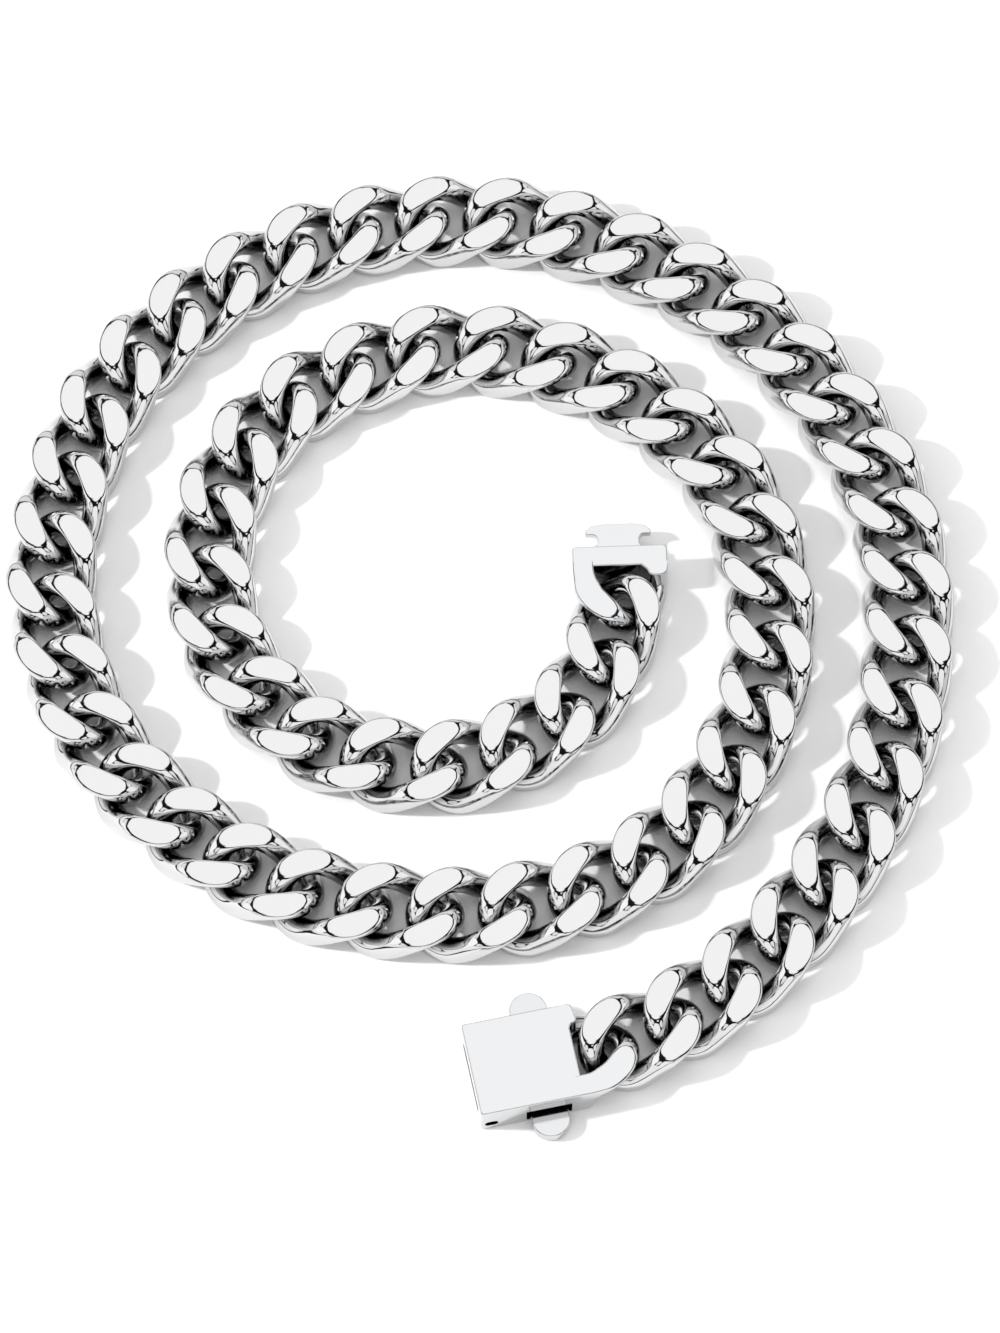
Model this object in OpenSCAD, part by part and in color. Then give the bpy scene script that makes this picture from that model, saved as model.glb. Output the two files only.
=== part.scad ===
// Curb chain necklace of polished steel, lying in an open coil of two turns.
// The links are ground flat on both faces, and a box clasp with two push tabs closes the chain.
// The necklace lies on z = 0, with the middle of its outline over the origin.

/* [Chain] */
// Number of links between the two halves of the clasp
link_count = 65; // [64:1:66]
// Thickness of the wire
wire_d = 3.4; // [2.8:0.1:3.4]
// Overall length of one link
link_len = 16.6; // [16.4:0.1:16.8]
// Width of one link before its sides are ground
link_wide = 12.4; // [12.2:0.1:12.6]
// How far the middle of the wire rises and falls along a link
wire_rise = 2.2; // [2.1:0.05:2.4]
// Width of the chain over its ground sides
chain_w = 11.8; // [11.6:0.1:12]
// Thickness of the chain over its ground faces
chain_t = 5.2; // [5.1:0.1:6]

/* [Clasp box] */
// Length of the box along the chain
box_len = 13.2; // [12.8:0.05:14]
// Width of the box and of the block on the tongue end
clasp_w = 12.3; // [12:0.1:12.6]
// Thickness of the side and end walls
side_wall = 1; // [0.9:0.05:1.1]
// Thickness of the floor and the lid of the box
lid_t = 0.5; // [0.4:0.05:0.7]
// Radius of the upright corners
corner_r = 0.5; // [0.3:0.1:0.8]

/* [Push tabs] */
// Radius of the round end that a finger presses
tab_r = 2.4; // [2.3:0.1:2.6]
// How far the front tab stands out of the side
front_tab_out = 3.3; // [3:0.1:3.6]
// How far the back tab stands out of the side
back_tab_out = 2.7; // [2.6:0.1:3]
// Thickness of a tab
tab_t = 1.1; // [1:0.05:1.15]
// How far a tab slides in
tab_travel = 1.4; // [1:0.1:1.4]

/* [Tongue] */
// Length of the block that carries the tongue
block_len = 2.8; // [2.6:0.1:3.2]
// How far the tongue stands out of the block
tongue_len = 4.2; // [3.9:0.1:4.4]
// Thickness of the tongue
tongue_t = 1; // [0.8:0.05:1]
// Width of the tongue's head
head_w = 8.6; // [8.4:0.1:8.8]
// Width of the tongue's neck
neck_w = 5.4; // [5.2:0.1:5.4]

/* [Hidden] */
$fn = 48;

// Middle line of the coil, seen from above: round points from the clasp box to the tongue end
ROUTE = [
    [11.5, -57.6], [36, -43.5], [52.5, -15.5], [53.5, 17.5], [36, 45.5], [6.5, 60.5],
    [-23.5, 57], [-47, 38], [-55.5, 9.5], [-47.5, -16.5], [-25, -34.5], [3, -38],
    [25, -28], [36.5, -6], [34.5, 17.5], [19.5, 35], [-3, 42], [-24.5, 34],
    [-34.5, 17], [-32.5, -2], [-19, -15.5], [-1, -17.5], [13.5, -7.5], [18, 10]
];
// Headings of the two halves of the clasp
BOX_HEADING = 12;
TONGUE_HEADING = 92;
// Steps of the smooth curve between two points of the route
CURVE_STEPS = 12;
// A heading is read over this distance on either side
LOOK = 1;

// A link's plan is an oval of this power, and its rise leans this much to the middle of the link
OVAL = 1.1;
LEAN = 0.15;
LEAN_PEAK = 1.011;
LOOP_A = (link_len - wire_d) / 2;
LOOP_B = (link_wide - wire_d) / 2;
LINK_RINGS = 16;
WIRE_SIDES = 6;
// The wire's direction is read over this angle on either side
SPREAD = 3;
// Largest angle of the section's upper and lower corners, where the wire isn't ground
CORNER_ANGLE = 60;

// End faces of the box and the block, and ends of their nubs, measured from the middle of the half link
BOX_FACE = 0.3;
BLOCK_FACE = 0.75;
BOX_NUB = 1.1;
BLOCK_NUB = 1.9;
// The half link enters the face this deep, narrowed by this much, and is full height this far outside it
ROOT_DEEP = 1.2;
ROOT_INSET = 0.4;
ROOT_OUT = 0.45;
// Middle and half width of the half link's root, which stays just inside the side of the clasp
ROOT_HALF = 1.4;
SIDE_INSET = 0.1;
HOOK_HALF_W = clasp_w / 2 - SIDE_INSET;
ROOT_Y = HOOK_HALF_W - ROOT_HALF;
// Angles round the half link at which its wire has a ring, the last ones only where the nub leaves room
HOOK_TURNS = [-66, -54, -45, -34, -20, -7, 7, 20, 34, 45];
NUB_TURNS = [54, 66];
// The nub ends in a steep drop of this length to the low wire
NUB_DROP = 0.3;
LOW_WIRE_TOP = chain_t / 2 - wire_rise + wire_d / 2;
// Past this angle the soldered wire keeps its full rise up to the clasp
LEVEL_ANGLE = 50;

// A cut reaches this far past the face that it opens, and joined shapes reach this far into each other
CUT = 1;
OVERLAP = 0.5;
// Gap between pieces that slide
PLAY = 0.15;

// Layers of the box: floor, lower tab, tongue, upper tab, lid
MOUTH_X = BOX_FACE - box_len;
CAVITY_X0 = MOUTH_X + side_wall;
ROOT_BACKING = 0.2;
CAVITY_X1 = BOX_FACE - ROOT_DEEP - ROOT_BACKING;
CAVITY_Y = clasp_w / 2 - side_wall;
TAB_Z = lid_t + PLAY;
TAB_X = -4.2;
// Room beside a tab in its slot, and the slot's height over the middle of the box
SLOT_SPARE = 0.5;
SLOT_RISE = 0.45;
SLOT_TOP = chain_t / 2 + SLOT_RISE;
MOUTH_HALF_W = head_w / 2 + PLAY;
// Small oval hole in the near side
PEEP_LEN = 1.7;
PEEP_H = 1.2;
PEEP_X = MOUTH_X + OVERLAP;
PEEP_Z = 1.65;

// The plate of a tab inside the box, and its arm and peg at the mouth
PLATE_X0 = -8.3;
PLATE_X1 = CAVITY_X1 - PLAY;
PLATE_Y0 = -CAVITY_Y + PLAY;
PLATE_Y1 = CAVITY_Y - tab_travel - PLAY;
ARM_X0 = CAVITY_X0 + PLAY;
ARM_W = 1.6;
PEG_LEN = 1.3;
PEG_Y = neck_w / 2 + PLAY;
PEG_TOP = chain_t / 2 + tongue_t / 2;

// The front tab's lip, which hangs down outside the box: height of its underside, and its drawing in
LIP_Z = 0.1;
LIP_INSET = 0.1;
LIP_Y = -clasp_w / 2 - tab_travel - PLAY;

HEAD_LEN = 1.5;
NOTCH_R = 0.9;

// The smooth curve through the route, with a lead-in and a lead-out along the two headings
function turned(a, r) = [r * cos(a), r * sin(a)];
LAST = len(ROUTE) - 1;
LEAD_IN = ROUTE[1] - turned(BOX_HEADING, 2 * norm(ROUTE[1] - ROUTE[0]));
LEAD_OUT = ROUTE[LAST - 1] + turned(TONGUE_HEADING, 2 * norm(ROUTE[LAST] - ROUTE[LAST - 1]));
KNOTS = concat([LEAD_IN], ROUTE, [LEAD_OUT]);
function between(a, b, c, d, t) =
    (2 * b + (c - a) * t + (2 * a - 5 * b + 4 * c - d) * t * t + (3 * b - a - 3 * c + d) * t * t * t) / 2;
CURVE = [
    for (k = [0 : LAST - 1], j = [0 : CURVE_STEPS - 1])
        between(KNOTS[k], KNOTS[k + 1], KNOTS[k + 2], KNOTS[k + 3], j / CURVE_STEPS),
    ROUTE[LAST]
];
STEPS = [0, for (i = [1 : len(CURVE) - 1]) norm(CURVE[i] - CURVE[i - 1])];
RUN = [for (i = 0, s = 0; i < len(STEPS); i = i + 1, s = s + (i < len(STEPS) ? STEPS[i] : 0)) s];
TRACK_X = [for (i = [0 : len(CURVE) - 1]) [RUN[i], CURVE[i].x]];
TRACK_Y = [for (i = [0 : len(CURVE) - 1]) [RUN[i], CURVE[i].y]];
TRACK_LEN = RUN[len(RUN) - 1];
PITCH = TRACK_LEN / (link_count + 1);

function along(s) = [lookup(s, TRACK_X), lookup(s, TRACK_Y)];
function heading(s) = let (d = along(s + LOOK) - along(s - LOOK)) atan2(d.y, d.x);

// One link in its own frame: x along the chain, y to the left, z = 0 on the floor
function unit(v) = v / norm(v);
function plan(t) = [
    LOOP_A * sign(cos(t)) * pow(abs(cos(t)), OVAL),
    LOOP_B * sign(sin(t)) * pow(abs(sin(t)), OVAL)
];
function rise(t) = -wire_rise * sin(2 * t) * (1 - LEAN * cos(2 * t)) / LEAN_PEAK;
function spine(t) = [plan(t).x, plan(t).y, chain_t / 2 + rise(t)];
function direction(t) = spine(t + SPREAD) - spine(t - SPREAD);
function ground(p, half_w) = [p.x, max(-half_w, min(half_w, p.y)), max(0, min(chain_t, p.z))];

// Six corners of the wire round the point c, with the upper or lower pair on a ground face
function section(c, dir, half_w) =
    let (r = wire_d / 2)
    let (out = unit([dir.y, -dir.x, 0]))
    let (up = unit(cross(out, dir)))
    let (top = asin(min(sin(CORNER_ANGLE), (chain_t - c.z) / up.z / r)))
    let (low = asin(min(sin(CORNER_ANGLE), c.z / up.z / r)))
    let (angles = [0, top, 180 - top, 180, 180 + low, -low])
    [for (a = angles) ground(c + r * (cos(a) * out + sin(a) * up), half_w)];

function link_points() = [
    for (i = [0 : LINK_RINGS - 1])
        let (t = 360 * i / LINK_RINGS)
        each section(spine(t), direction(t), chain_w / 2)
];
function on_track(p, s) =
    let (a = heading(s), o = along(s))
    [o.x + p.x * cos(a) - p.y * sin(a), o.y + p.x * sin(a) + p.y * cos(a), p.z];

// Triangles between ring i and ring j of a tube, whose corners start at number n
function band(n, i, j) = [
    for (k = [0 : WIRE_SIDES - 1])
        let (m = (k + 1) % WIRE_SIDES)
        let (a = n + i * WIRE_SIDES, b = n + j * WIRE_SIDES)
        each [[a + k, a + m, b + m], [a + k, b + m, b + k]]
];

// Loose links number first to last, each a closed ring of wire
module links(first, last) {
    one = link_points();
    polyhedron(
        points = [for (k = [first : last]) each [for (p = one) on_track(p, (k + 1) * PITCH)]],
        faces = [
            for (k = [0 : last - first], i = [0 : LINK_RINGS - 1])
                each band(k * LINK_RINGS * WIRE_SIDES, i, (i + 1) % LINK_RINGS)
        ],
        convexity = 10
    );
}

// Six corners of the half link's upright section near the clasp, x along the chain and y to its side.
// It is drawn in all round by inset, and reaches up to top.
function root(x, y, inset, top) =
    let (half = ROOT_HALF - inset)
    [
        for (q = [[1, 0.5], [1, 1], [-1, 1], [-1, 0.5], [-1, 0], [1, 0]])
            [x, y + sign(y) * q[0] * half, inset + q[1] * (top - 2 * inset)]
    ];
function level(t) = abs(t) > LEVEL_ANGLE ? -sign(t) * wire_rise : rise(t);
function hook_spine(t) = [plan(t).x, plan(t).y, chain_t / 2 + level(t)];

// Half a link that is soldered to the clasp: high on the right, low on the left
module half_link(face, nub) {
    turns = concat(HOOK_TURNS, [for (t = NUB_TURNS) if (plan(t).x - wire_d / 3 > nub + NUB_DROP) t]);
    rings = concat(
        [root(face - ROOT_DEEP, -ROOT_Y, ROOT_INSET, chain_t), root(face + ROOT_OUT, -ROOT_Y, 0, chain_t)],
        [for (t = turns) section(hook_spine(t), direction(t), HOOK_HALF_W)],
        [root(nub + NUB_DROP, ROOT_Y, 0, LOW_WIRE_TOP), root(nub, ROOT_Y, 0, chain_t)],
        [root(face - ROOT_DEEP, ROOT_Y, ROOT_INSET, chain_t)]
    );
    last = len(rings) - 1;
    polyhedron(
        points = [for (ring = rings) each ring],
        faces = concat(
            [[5, 4, 3, 2, 1, 0]],
            [for (i = [0 : last - 1]) each band(0, i, i + 1)],
            [[for (k = [0 : WIRE_SIDES - 1]) last * WIRE_SIDES + k]]
        ),
        convexity = 6
    );
}

// A block from x0 to x1 with round upright corners
module rounded_block(x0, x1, w, h) {
    linear_extrude(h) {
        translate([x0 + corner_r, -w / 2]) square([x1 - x0 - 2 * corner_r, w]);
        translate([x0, -w / 2 + corner_r]) square([x1 - x0, w - 2 * corner_r]);
        for (x = [x0 + corner_r, x1 - corner_r], y = [-1, 1])
            translate([x, y * (w / 2 - corner_r)]) circle(corner_r);
    }
}

module at_box() {
    translate([ROUTE[0].x, ROUTE[0].y, 0]) rotate([0, 0, BOX_HEADING]) children();
}

module at_tongue() {
    translate([ROUTE[LAST].x, ROUTE[LAST].y, 0]) rotate([0, 0, TONGUE_HEADING]) children();
}

// The same shape turned over, for what faces the other side of the box
module turned_over() {
    translate([0, 0, chain_t]) rotate([180, 0, 0]) children();
}

// Slot in the right side of the box, which a tab slides in
module tab_slot() {
    half = tab_r + SLOT_SPARE;
    translate([TAB_X - half, -clasp_w / 2 - CUT, lid_t])
        cube([2 * half, side_wall + 2 * CUT, SLOT_TOP - lid_t]);
}

module peep_hole() {
    depth = side_wall + 2 * CUT;
    translate([PEEP_X + PEEP_H / 2, -CAVITY_Y + CUT, PEEP_Z]) rotate([90, 0, 0]) {
        cylinder(h = depth, d = PEEP_H);
        translate([PEEP_LEN - PEEP_H, 0, 0]) cylinder(h = depth, d = PEEP_H);
        translate([0, -PEEP_H / 2, 0]) cube([PEEP_LEN - PEEP_H, PEEP_H, depth]);
    }
}

module clasp_box() {
    color("silver") at_box() {
        difference() {
            rounded_block(MOUTH_X, BOX_FACE, clasp_w, chain_t);
            translate([CAVITY_X0, -CAVITY_Y, lid_t])
                cube([CAVITY_X1 - CAVITY_X0, 2 * CAVITY_Y, chain_t - 2 * lid_t]);
            translate([MOUTH_X - CUT, -MOUTH_HALF_W, chain_t / 2 - tongue_t / 2 - PLAY])
                cube([side_wall + 2 * CUT, 2 * MOUTH_HALF_W, tongue_t + 2 * PLAY]);
            tab_slot();
            turned_over() tab_slot();
            peep_hole();
        }
        half_link(BOX_FACE, BOX_NUB);
    }
}

// A tab that stands out by a given length and reaches across the box, with a peg for the tongue's far notch
module tab(out) {
    round_y = tab_r - out - clasp_w / 2;
    translate([0, 0, TAB_Z]) linear_extrude(tab_t) {
        translate([TAB_X, round_y]) circle(tab_r);
        translate([TAB_X - tab_r, round_y]) square([2 * tab_r, PLATE_Y0 - round_y + OVERLAP]);
        translate([PLATE_X0, PLATE_Y0]) square([PLATE_X1 - PLATE_X0, PLATE_Y1 - PLATE_Y0]);
        translate([ARM_X0, PLATE_Y1 - ARM_W]) square([PLATE_X1 - ARM_X0, ARM_W]);
    }
    translate([ARM_X0, PEG_Y, TAB_Z]) cube([PEG_LEN, PLATE_Y1 - PEG_Y, PEG_TOP - TAB_Z]);
}

module tab_lip(out) {
    translate([0, 0, LIP_Z]) linear_extrude(TAB_Z + tab_t / 2 - LIP_Z) intersection() {
        translate([TAB_X, tab_r - out - clasp_w / 2]) circle(tab_r - LIP_INSET);
        translate([TAB_X - tab_r, LIP_Y - 2 * tab_r]) square(2 * tab_r);
    }
}

module front_tab() {
    color("gainsboro") at_box() {
        tab(front_tab_out);
        tab_lip(front_tab_out);
    }
}

module back_tab() {
    color("gainsboro") at_box() turned_over() tab(back_tab_out);
}

// Plan of the tongue: a neck with a wide head, and a round notch behind each side of the head
module tongue_plan() {
    head_x = tongue_len - HEAD_LEN;
    difference() {
        union() {
            translate([-OVERLAP, -neck_w / 2 - NOTCH_R]) square([head_x + OVERLAP, neck_w + 2 * NOTCH_R]);
            translate([head_x, -head_w / 2 + HEAD_LEN]) square([HEAD_LEN, head_w - 2 * HEAD_LEN]);
            for (y = [-1, 1])
                intersection() {
                    translate([head_x, y * (head_w / 2 - HEAD_LEN)]) circle(HEAD_LEN);
                    translate([head_x, -head_w / 2]) square([HEAD_LEN, head_w]);
                }
        }
        for (y = [-1, 1]) translate([head_x - NOTCH_R, y * (neck_w / 2 + NOTCH_R)]) circle(NOTCH_R);
    }
}

module tongue_end() {
    color("silver") at_tongue() {
        rounded_block(-BLOCK_FACE, block_len - BLOCK_FACE, clasp_w, chain_t);
        translate([block_len - BLOCK_FACE, 0, chain_t / 2 - tongue_t / 2])
            linear_extrude(tongue_t) tongue_plan();
        rotate([0, 0, 180]) half_link(BLOCK_FACE, BLOCK_NUB);
    }
}

module outer_chain() {
    color("lightgray") links(0, floor(link_count / 2));
}

module inner_chain() {
    color("lightgray") links(floor(link_count / 2) + 1, link_count - 1);
}

clasp_box();
front_tab();
back_tab();
outer_chain();
inner_chain();
tongue_end();
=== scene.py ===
"""A curb chain necklace of polished steel, laid in an open coil with its box clasp undone.

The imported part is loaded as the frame, and each of its nodes is replaced by a finer surface in the
same place. All shapes are worked out in millimetres and put into meshes in metres. A link is a ring
of round wire that rises on one side and falls on the other, ground flat above, below and at its
sides. The two halves of the clasp carry half a link each.
"""

import logging
import math
from collections.abc import Callable, Sequence
from dataclasses import dataclass, field
from enum import Enum

import bpy
import numpy as np
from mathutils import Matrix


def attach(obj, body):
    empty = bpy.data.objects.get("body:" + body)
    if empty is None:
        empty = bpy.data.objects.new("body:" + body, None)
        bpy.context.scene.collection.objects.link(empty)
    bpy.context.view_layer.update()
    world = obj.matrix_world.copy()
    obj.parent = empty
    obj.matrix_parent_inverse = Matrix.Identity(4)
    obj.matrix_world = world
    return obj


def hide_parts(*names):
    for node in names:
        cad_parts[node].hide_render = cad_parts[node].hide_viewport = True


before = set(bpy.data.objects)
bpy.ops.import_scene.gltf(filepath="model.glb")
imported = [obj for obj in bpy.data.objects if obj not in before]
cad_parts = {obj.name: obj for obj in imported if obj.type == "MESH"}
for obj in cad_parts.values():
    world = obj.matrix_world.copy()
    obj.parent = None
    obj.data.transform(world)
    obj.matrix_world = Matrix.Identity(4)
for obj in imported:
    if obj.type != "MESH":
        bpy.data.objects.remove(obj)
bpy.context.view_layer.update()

Array = np.ndarray
Placing = Callable[[Array], Array]
Triple = tuple[float, float, float]
Socket = bpy.types.NodeSocket

LOG = logging.getLogger("necklace")
BODY = "necklace"
MM = 0.001  # a millimetre, in metres
THICKNESS = 5.2  # of the chain and the clasp
STRIP = 0.03  # width of the flat strip beside a rounded edge
PROUD = 0.001  # height of a soldered lug over the faces beside it
BURIED = 0.02  # share of its rounding that an edge keeps inside another piece
CREASE = 50.0  # angle in degrees past which an edge of the clasp is shaded sharp
DEEP = (0.9, 2.1)  # depths under the ground faces between which the painted shade sets in
MIDST = (3.2, 5.2)  # distances from the chain's middle between which the painted shade fades out again


class Face(Enum):
    """The two sides of the clasp box that a push tab can stand in."""

    NEAR = 1
    FAR = -1


def unit(vectors: Array) -> Array:
    """Vectors of length one.

    Args:
        vectors: Any array whose last axis holds the coordinates.

    Returns:
        The same array with each vector divided by its length.
    """
    return vectors / np.linalg.norm(vectors, axis=-1, keepdims=True)


def outward(along: Array) -> Array:
    """The level direction to the right of each direction of a path."""
    return unit(np.stack([along[:, 1], -along[:, 0], np.zeros(len(along))], 1))


def ease(value: Array, start: float, end: float) -> Array:
    """The smooth step of a value: at share t of the way it is t squared times (3 - 2 t).

    Args:
        value: Any array.
        start: Value at which the step begins.
        end: Value at which it ends.

    Returns:
        0 up to the start, 1 from the end on, and the step between them.
    """
    share = np.clip((value - start) / (end - start), 0, 1)
    return share**2 * (3 - 2 * share)


def distances(places: Array) -> Array:
    """Length of a line up to each of its places, from nought at the first."""
    return np.concatenate([[0], np.cumsum(np.linalg.norm(np.diff(places, axis=0), axis=1))])


def stretches(knots: Array, steps: int) -> Array:
    """A smooth curve through all knots but the first and last, which only lend it their direction.

    Each stretch is a cubic whose slope at a knot is half the difference between its neighbours.

    Args:
        knots: One row per knot.
        steps: Places read on each stretch.

    Returns:
        One row per place, with the last knot but one at the end.
    """
    t = (np.arange(steps) / steps)[None, :, None]
    a, b, c, d = (knots[k : len(knots) - 3 + k, None, :] for k in range(4))
    second, third = 2 * a - 5 * b + 4 * c - d, 3 * b - a - 3 * c + d
    places = (2 * b + (c - a) * t + second * t**2 + third * t**3) / 2
    return np.vstack([places.reshape(-1, knots.shape[1]), knots[-2:-1]])


def smooth_path(stations: Array, count: int) -> Array:
    """A smooth curve through a few stations, read at even steps of its length.

    Args:
        stations: Rows of x, y and z.
        count: Number of points asked for.

    Returns:
        One row per point.
    """
    before, after = 2 * stations[:1] - stations[1:2], 2 * stations[-1:] - stations[-2:-1]
    dense = stretches(np.vstack([before, stations, after]), steps=24)
    run = distances(dense)
    even = np.linspace(0, run[-1], count)
    return np.stack([np.interp(even, run, column) for column in dense.T], 1)


def rectangle(left: float, right: float, near: float, far: float, radius: float) -> list[Triple]:
    """The x, y and radius of a rectangle's four corners, counter-clockwise from above."""
    return [(left, near, radius), (right, near, radius), (right, far, radius), (left, far, radius)]


def rounded_outline(corners: Sequence[Triple], steps: int = 7) -> Array:
    """A closed outline with rounded corners, counter-clockwise from above.

    At a corner of radius r and turning angle w the arc starts r * tan(w / 2) before the corner and
    ends as far behind it. Each arc gets one more point just outside either end, which keeps the
    straight sides flat when they are shaded.

    Args:
        corners: x, y and radius of each corner.
        steps: Points on each arc.

    Returns:
        Outline points as rows of x and y.
    """
    place, radius = np.array(corners, float)[:, :2], np.array(corners, float)[:, 2]
    came, goes = unit(place - np.roll(place, 1, 0)), unit(np.roll(place, -1, 0) - place)
    turn = np.arctan2(came[:, 0] * goes[:, 1] - came[:, 1] * goes[:, 0], (came * goes).sum(1))
    back = radius * np.tan(np.abs(turn) / 2)
    start = place - came * back[:, None]
    left = np.stack([-came[:, 1], came[:, 0]], 1) * np.sign(turn)[:, None]
    centre = start + left * radius[:, None]
    share = np.linspace(0, 1, steps)[None, :] * turn[:, None]
    cos, sin = np.cos(share)[..., None], np.sin(share)[..., None]
    arm = (start - centre)[:, None, :]
    crossed = np.stack([-arm[..., 1], arm[..., 0]], -1)
    arcs = centre[:, None, :] + arm * cos + crossed * sin
    outside = 0.02
    first = (start - came * outside)[:, None, :]
    last = (place + goes * (back + outside)[:, None])[:, None, :]
    return np.concatenate([first, arcs, last], 1).reshape(-1, 2)


def inset(outline: Array, depth: float) -> Array:
    """The outline moved inwards by a depth, each point along the half angle between its two sides.

    Args:
        outline: Closed outline, counter-clockwise, as rows of x and y.
        depth: Distance moved.

    Returns:
        The moved outline.
    """
    came, goes = unit(outline - np.roll(outline, 1, 0)), unit(np.roll(outline, -1, 0) - outline)
    a, b = np.stack([-came[:, 1], came[:, 0]], 1), np.stack([-goes[:, 1], goes[:, 0]], 1)
    return outline + depth * (a + b) / (1 + (a * b).sum(1, keepdims=True))


def rounded_side(low: float, high: float, bevel: float) -> tuple[Array, Array]:
    """Side of a plate with rounded edges, from its underside round to its top.

    Each edge is a quarter circle of the bevel's radius. A thin flat strip on either side of it
    keeps the faces flat when they are shaded.

    Args:
        low: Height of the underside.
        high: Height of the top.
        bevel: Radius of the edges.

    Returns:
        How far inside the outline each point of the side lies, and its height.
    """
    turn = np.linspace(0, math.pi / 2, 5)
    depth = np.concatenate([[bevel + STRIP], bevel * (1 - np.sin(turn)), [0.0]])
    rise = np.concatenate([[0.0], bevel * (1 - np.cos(turn)), [bevel + STRIP]])
    return np.concatenate([depth, depth[::-1]]), np.concatenate([low + rise, (high - rise)[::-1]])


def painted_shade(points: Array) -> Array:
    """Share of painted shade at each point, by how deep it lies between the links, from 0 outside to 1.

    It is the smooth step of its depth under the nearer ground face, times the opposite step of its
    distance from the chain's middle.

    Args:
        points: Points in a link's or the clasp's own frame.

    Returns:
        One value for each point.
    """
    depth = np.minimum(points[..., 2], THICKNESS - points[..., 2])
    return ease(depth, *DEEP) * (1 - ease(np.abs(points[..., 1]), *MIDST))


def new_object(name: str, data: bpy.types.ID) -> bpy.types.Object:
    """A new object at the origin, linked to the scene.

    Args:
        name: Its name.
        data: Its mesh, lamp or camera.

    Returns:
        The object.
    """
    made = bpy.data.objects.new(name, data)
    bpy.context.scene.collection.objects.link(made)
    return made


class Skin:
    """The points and faces of one piece, gathered in millimetres and made a mesh at the end."""

    def __init__(self) -> None:
        """Starts with no points."""
        self._points: list[Array] = []
        self._ground: list[Array] = []
        self._painted_shade: list[Array] = []
        self._corners: list[Array] = []
        self._sides: list[Array] = []
        self._count = 0

    def points(self, points: Array, ground: Array | float = 0.0, painted_shade: Array | float = 0.0) -> Array:
        """Adds points.

        Args:
            points: Points of any grid shape, with x, y and z last.
            ground: 1 where a point lies on a ground face and 0 on the drawn wire.
            painted_shade: Share of painted shade at each point, 1 deep between the links and 0 outside.

        Returns:
            The number of each point, in the grid's shape.
        """
        shape = points.shape[:-1]
        numbers = self._count + np.arange(int(np.prod(shape))).reshape(shape)
        self._points.append(points.reshape(-1, 3))
        self._ground.append(np.broadcast_to(np.asarray(ground, float), shape).reshape(-1))
        self._painted_shade.append(np.broadcast_to(np.asarray(painted_shade, float), shape).reshape(-1))
        self._count += numbers.size
        return numbers

    def faces(self, numbers: Array) -> None:
        """Adds faces, one row of point numbers each."""
        self._corners.append(numbers.reshape(-1))
        self._sides.append(np.full(len(numbers), numbers.shape[1]))

    def cap(self, ring: Array) -> None:
        """Adds one face over a ring of point numbers, counter-clockwise from outside."""
        self.faces(ring[None, :])

    def grid(self, numbers: Array, ring: bool = False, sheet: bool = True) -> None:
        """Adds the four-sided faces between the rows and columns of a grid of point numbers.

        Args:
            numbers: Grid of point numbers, or several such grids.
            ring: The last row joins the first one.
            sheet: False where the last column joins the first one.
        """
        if ring:
            numbers = np.concatenate([numbers, numbers[..., :1, :]], -2)
        if not sheet:
            numbers = np.concatenate([numbers, numbers[..., :1]], -1)
        a, b = numbers[..., :-1, :-1], numbers[..., 1:, :-1]
        c, d = numbers[..., 1:, 1:], numbers[..., :-1, 1:]
        self.faces(np.stack([a, b, c, d], -1).reshape(-1, 4))

    def slab(
        self, outline: Array, low: float, high: float, bevel: float, open_sides: Array | float = 1.0
    ) -> None:
        """Adds a plate: an outline carried from low to high, with rounded edges above and below.

        Args:
            outline: Closed outline, counter-clockwise, as rows of x and y.
            low: Height of the underside.
            high: Height of the top.
            bevel: Radius of the edges.
            open_sides: Share of the bevel's depth at each point, near nought inside another piece.
        """
        share = np.broadcast_to(open_sides, len(outline))[:, None]
        rings = []
        for depth, height in zip(*rounded_side(low, high, bevel)):
            plan = outline + (inset(outline, depth) - outline) * share
            rings.append(np.column_stack([plan, np.full(len(plan), height)]))
        numbers = self.points(np.stack(rings), 1.0)
        self.grid(numbers.T, ring=True)
        self.cap(numbers[-1])
        self.cap(numbers[0][::-1])

    def join(self, part: "Skin") -> None:
        """Adds all of another surface.

        Args:
            part: The other surface.
        """
        points, ground, painted_shade = (
            np.concatenate(values) for values in (part._points, part._ground, part._painted_shade)
        )
        numbers = self.points(points, ground, painted_shade)
        self._corners += [corners + numbers[0] for corners in part._corners]
        self._sides += part._sides

    def move(self, put: Placing) -> None:
        """Moves all points by a function that takes and gives rows of x, y and z."""
        self._points = [put(np.concatenate(self._points))]

    def mesh(self, name: str, crease: float | None = None) -> bpy.types.Object:
        """Puts the gathered surface into a new object, in metres.

        Args:
            name: Name of the object.
            crease: Angle in degrees past which an edge is shaded sharp, or None for none.

        Returns:
            The object, at the origin, linked to the scene.
        """
        points = np.concatenate(self._points).astype(np.float32) * np.float32(MM)
        corners, sides = np.concatenate(self._corners), np.concatenate(self._sides)
        mesh = bpy.data.meshes.new(name)
        mesh.vertices.add(len(points))
        mesh.vertices.foreach_set("co", points.ravel())
        mesh.loops.add(len(corners))
        mesh.loops.foreach_set("vertex_index", corners.astype(np.int32))
        mesh.polygons.add(len(sides))
        mesh.polygons.foreach_set("loop_start", (np.cumsum(sides) - sides).astype(np.int32))
        # the second attribute is the share of painted shade, which darkens the tint
        for title, values in (("ground", self._ground), ("painted_shade", self._painted_shade)):
            layer = mesh.attributes.new(title, "FLOAT", "POINT")
            layer.data.foreach_set("value", np.concatenate(values).astype(np.float32))
        mesh.update(calc_edges=True)
        mesh.validate()
        mesh.shade_smooth()
        if crease is not None:
            mesh.set_sharp_from_angle(angle=math.radians(crease))
        return new_object(name, mesh)


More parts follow.
